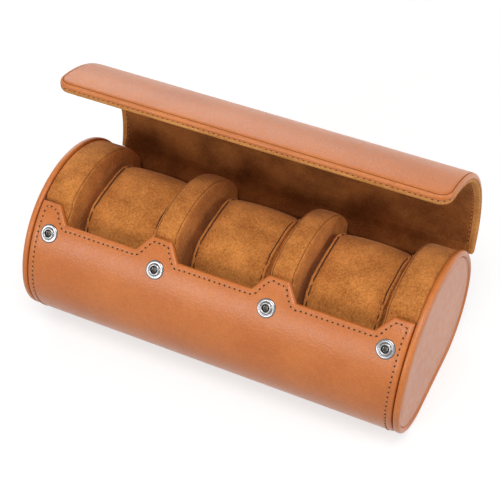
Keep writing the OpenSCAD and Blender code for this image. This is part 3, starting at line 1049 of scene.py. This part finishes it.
def hinge_line(wall_depth, lid_depth, way, bend, stretch=1.0):
    """A hinge sheet's line: its lap on the wall, the bend, and its lap on the lid. way is 1 inside."""

    def proud(k):
        return way * (HINGE_PROUD if k < 4 else -HINGE_SUNK)

    start = on_wrap(0, WRAP_LEN, wall_depth + proud(0))
    end = on_lid(0, 0, lid_depth + proud(0))
    curve = [start, *(at(0, y, z) for y, z in bend), end]
    line = [on_wrap(0, WRAP_LEN - HINGE_LAP * k / 4, wall_depth + proud(k)) for k in (4, 3, 2, 1)]
    line += [bezier(curve, t / BEND_STEPS) for t in range(BEND_STEPS + 1)]
    line += [on_lid(0, HINGE_LAP * k / 4 * stretch, lid_depth + proud(k)) for k in (1, 2, 3, 4)]
    return line


def make_hinge():
    """Leather outside and suede inside, lapped over the rear edges of the wall and of the lid."""
    outside = hinge_line(0, 0, -1, OUTER_BEND)
    inside = hinge_line(WALL_T, LID_T, 1, INNER_BEND, 1.2)
    for name, line, thick, finish, slot, nodes in (
            ("hinge_leather", outside, -0.9, TAN_LEATHER, "leather", ["hinge_fold"]),
            ("hinge_lining", inside, 0.7, LINING_SUEDE_SHADED, "suede", [])):
        last = len(line) - 1
        section = list(line)
        for i in range(last, -1, -1):
            along = (line[min(i + 1, last)] - line[max(i - 1, 0)]).normalized()
            taper = min(1, 0.2 + min(i, last - i) / 3)
            section.append(line[i] + Vector((0, along.z, -along.y)) * thick * taper * MM)
        stops = [-HINGE_X + 2 * HINGE_X * k / HINGE_STOPS for k in range(HINGE_STOPS + 1)]
        verts = [Vector((x * MM, p.y, p.z)) for x in stops for p in section]
        n = len(section)
        faces = ring_faces(len(stops), n)
        faces.append(list(range(n))[::-1])
        faces.append([(len(stops) - 1) * n + i for i in range(n)])
        piece = finish_piece(name, mesh_of(name, verts, faces), finish, None, nodes)
        at(0, 48.2, 10.2)
        at(0, 55.6, 13.8)
        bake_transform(piece)


# Snaps

def upright(spot, out):
    """A place at spot, with its own +Z along out."""
    side = Vector((1, 0, 0))
    turn = Matrix((side, out.cross(side), out)).transposed().to_4x4()
    return Matrix.Translation(spot) @ turn


def socket_places():
    """Where the sockets sit, each with its own +Z out of the wall."""
    y, z = on_circle(SOCKET_R, SNAP_A)
    return [upright(at(x, y, z), Vector((0, y, z)).normalized()) for x in SNAP_X]


def stud_places():
    """Where the studs sit on the open lid, each with its own +Z out of the lid's inner face."""
    y, z = on_circle(STUD_FACE_R, SNAP_A)
    a = degrees(atan2(z - LID_Z, y - LID_Y))
    y, z = on_circle(LID_R - LID_T / 2, a)
    deep_y, deep_z = on_circle(LID_R - LID_T / 2 - 1, a)
    places = []
    for x in SNAP_X:
        spot = lid_opened(x, LID_Y + y, LID_Z + z)
        deeper = lid_opened(x, LID_Y + deep_y, LID_Z + deep_z)
        places.append(upright(spot, (deeper - spot).normalized()))
    return places


def paint_dark_reflections(piece, places, spans):
    """Paints turned pieces dark where their radius lies in one of the spans: painted dark reflection at
    the rim, painted shade in the hole.
    """
    piece.data.materials.append(STEEL_DARK_REFLECTION)
    flat = [place.inverted() for place in places]
    for face in piece.data.polygons:
        spot = min((turn @ face.center for turn in flat), key=lambda p: p.length)
        r = hypot(spot.x, spot.y) / MM
        if any(low < r < high for low, high in spans):
            face.material_index = 1


def make_sockets():
    """Chrome rings round wells painted dark as the shade in the hole, as (radius, height)."""
    places = socket_places()
    ring = [
        (0, -1.6), (1.3, -1.6), (1.3, 0.0), (4.7, 0.0), (4.82, 0.12), (4.8, 0.3), (4.62, 0.48),
        (4.3, 0.62), (3.9, 0.66), (3.55, 0.62), (3.3, 0.62), (3.15, 0.72), (3.05, 0.95),
        (2.95, 1.2), (2.75, 1.4), (2.5, 1.5), (2.2, 1.48), (2.0, 1.38), (1.86, 1.2), (1.8, 0.9),
        (1.8, 0.45), (1.55, 0.4), (0, 0.4)]
    rings = finish_piece(
        "snap_rings", mesh_of("snap_rings", *lathe(ring, places)), CHROME,
        "case", ["snap_sockets"])
    # Painted dark reflection round the flange's edge and painted shade in the hole.
    paint_dark_reflections(rings, places, [(0, 2.05), (4.55, 5.0)])
    # The well is a flat disc painted dark: painted shade in the socket's hole.
    well = [(0, 0.41), (1.0, 0.42), (1.6, 0.5), (1.78, 0.62), (1.79, 0.5), (1.6, 0.38), (0, 0.38)]
    wells = mesh_of("snap_wells", *lathe(well, places))
    finish_piece("snap_wells", wells, SHADED_WELL_METAL, "case")


def make_springs(radius=0.2, apart=1.05, half_length=1.5, height=0.86, sides=8):
    """Two spring wires across each socket."""
    verts, faces = [], []
    for place in socket_places():
        for middle in (-apart, apart):
            first = len(verts)
            for y in (-half_length, half_length):
                for i in range(sides):
                    a = 2 * pi * i / sides
                    x, z = middle + radius * cos(a), height + radius * sin(a)
                    verts.append(place @ Vector((x * MM, y * MM, z * MM)))
            faces += [[first + i for i in f] for f in ring_faces(2, sides)]
            faces += [[first + k + i for i in range(sides)] for k in (0, sides)]
    wires = mesh_of("snap_springs", verts, faces)
    finish_piece("snap_springs", wires, CHROME, "case")


def make_studs():
    """Chrome studs under the lid, as (radius, height)."""
    stud = [
        (0, -2.4), (1.3, -2.4), (1.3, 0.02), (2.45, 0.05), (2.5, 0.13), (2.4, 0.26), (2.1, 0.32),
        (1.6, 0.34), (1.3, 0.45), (1.16, 0.75), (1.22, 1.0), (1.38, 1.2), (1.4, 1.35), (1.3, 1.55),
        (1.0, 1.68), (0.5, 1.7), (0, 1.7)]
    pins = mesh_of("snap_pins", *lathe(stud, stud_places()))
    finish_piece("snap_pins", pins, CHROME, "lid", ["snap_studs"])


make_wall()
make_caps()
make_pads()
make_cushions()
make_lid()
make_hinge()
make_sockets()
make_springs()
make_studs()

# Boards and rivets keep their own shapes
# The boards' dark brown is partly painted shade where the cap boards show beside the pads.
for node, material in (
        ("body_board", BOARD_PARTLY_SHADED), ("lid_board", BOARD_PARTLY_SHADED),
        ("left_cap_board", BOARD_PARTLY_SHADED), ("right_cap_board", BOARD_PARTLY_SHADED),
        ("snap_socket_rivets", CHROME), ("snap_stud_rivets", CHROME)):
    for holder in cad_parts[node].material_slots:
        holder.material = material


# Floor and light

def background_rays(tree):
    """1 for the camera's rays and for what metal and leather mirror, 0 for light that lands on things."""
    rays = tree.nodes.new("ShaderNodeLightPath")
    seen = Shade(tree, rays.outputs["Is Camera Ray"])
    for kind in ("Is Glossy Ray", "Is Transmission Ray"):
        seen = seen.maths("MAXIMUM", Shade(tree, rays.outputs[kind]))
    return seen.socket


def make_floor():
    """A plain pale floor: white to the camera, and it keeps the case's shadow."""
    bm = bmesh.new()
    bmesh.ops.create_grid(bm, x_segments=1, y_segments=1, size=4)
    mesh = bpy.data.meshes.new("floor")
    bm.to_mesh(mesh)
    bm.free()
    floor = bpy.data.objects.new("floor", mesh)
    bpy.context.scene.collection.objects.link(floor)
    material = bpy.data.materials.new("floor")
    material.use_nodes = True
    tree = material.node_tree
    tree.nodes.clear()
    out = tree.nodes.new("ShaderNodeOutputMaterial")
    bounce = tree.nodes.new("ShaderNodeBsdfDiffuse")
    bounce.inputs["Color"].default_value = (0.4, 0.395, 0.39, 1)
    seen = tree.nodes.new("ShaderNodeBsdfDiffuse")
    seen.inputs["Color"].default_value = (0.42, 0.42, 0.42, 1)
    glow = tree.nodes.new("ShaderNodeEmission")
    glow.inputs["Strength"].default_value = 0.66
    both = tree.nodes.new("ShaderNodeAddShader")
    tree.links.new(seen.outputs[0], both.inputs[0])
    tree.links.new(glow.outputs[0], both.inputs[1])
    mix = tree.nodes.new("ShaderNodeMixShader")
    tree.links.new(background_rays(tree), mix.inputs[0])
    tree.links.new(bounce.outputs[0], mix.inputs[1])
    tree.links.new(both.outputs[0], mix.inputs[2])
    tree.links.new(mix.outputs[0], out.inputs["Surface"])
    mesh.materials.append(material)


def make_light():
    """Four soft lamps and a dim room, with a white background to the camera."""

    def softbox(name, place, aim, size, power):
        data = bpy.data.lights.new(name, "AREA")
        data.shape = "RECTANGLE"
        data.size, data.size_y = size
        data.energy = power
        lamp = bpy.data.objects.new(name, data)
        lamp.location = place
        lamp.rotation_euler = (Vector(place) - Vector(aim)).to_track_quat("Z", "Y").to_euler()
        bpy.context.scene.collection.objects.link(lamp)

    middle = (0, 0, 0.04)
    softbox("key", (0.22, -0.4, 1.25), middle, (0.7, 0.5), 8.5)
    softbox("front", (-0.4, -1.0, 0.55), middle, (0.7, 0.26), 3.9)
    softbox("side", (1.2, 0.12, 0.55), middle, (0.6, 0.6), 4.6)
    softbox("back", (-0.75, 1.1, 0.6), middle, (1.1, 0.7), 4.8)
    world = bpy.data.worlds.new("studio")
    world.use_nodes = True
    tree = world.node_tree
    tree.nodes.clear()
    out = tree.nodes.new("ShaderNodeOutputWorld")
    light = tree.nodes.new("ShaderNodeBackground")
    light.inputs["Strength"].default_value = 0.24
    white = tree.nodes.new("ShaderNodeBackground")
    white.inputs["Color"].default_value = (1, 1, 1, 1)
    light.inputs["Color"].default_value = (1, 1, 1, 1)
    mix = tree.nodes.new("ShaderNodeMixShader")
    tree.links.new(background_rays(tree), mix.inputs[0])
    tree.links.new(light.outputs[0], mix.inputs[1])
    tree.links.new(white.outputs[0], mix.inputs[2])
    tree.links.new(mix.outputs[0], out.inputs["Surface"])
    bpy.context.scene.world = world


make_floor()
make_light()
bpy.context.scene.view_settings.view_transform = "Standard"
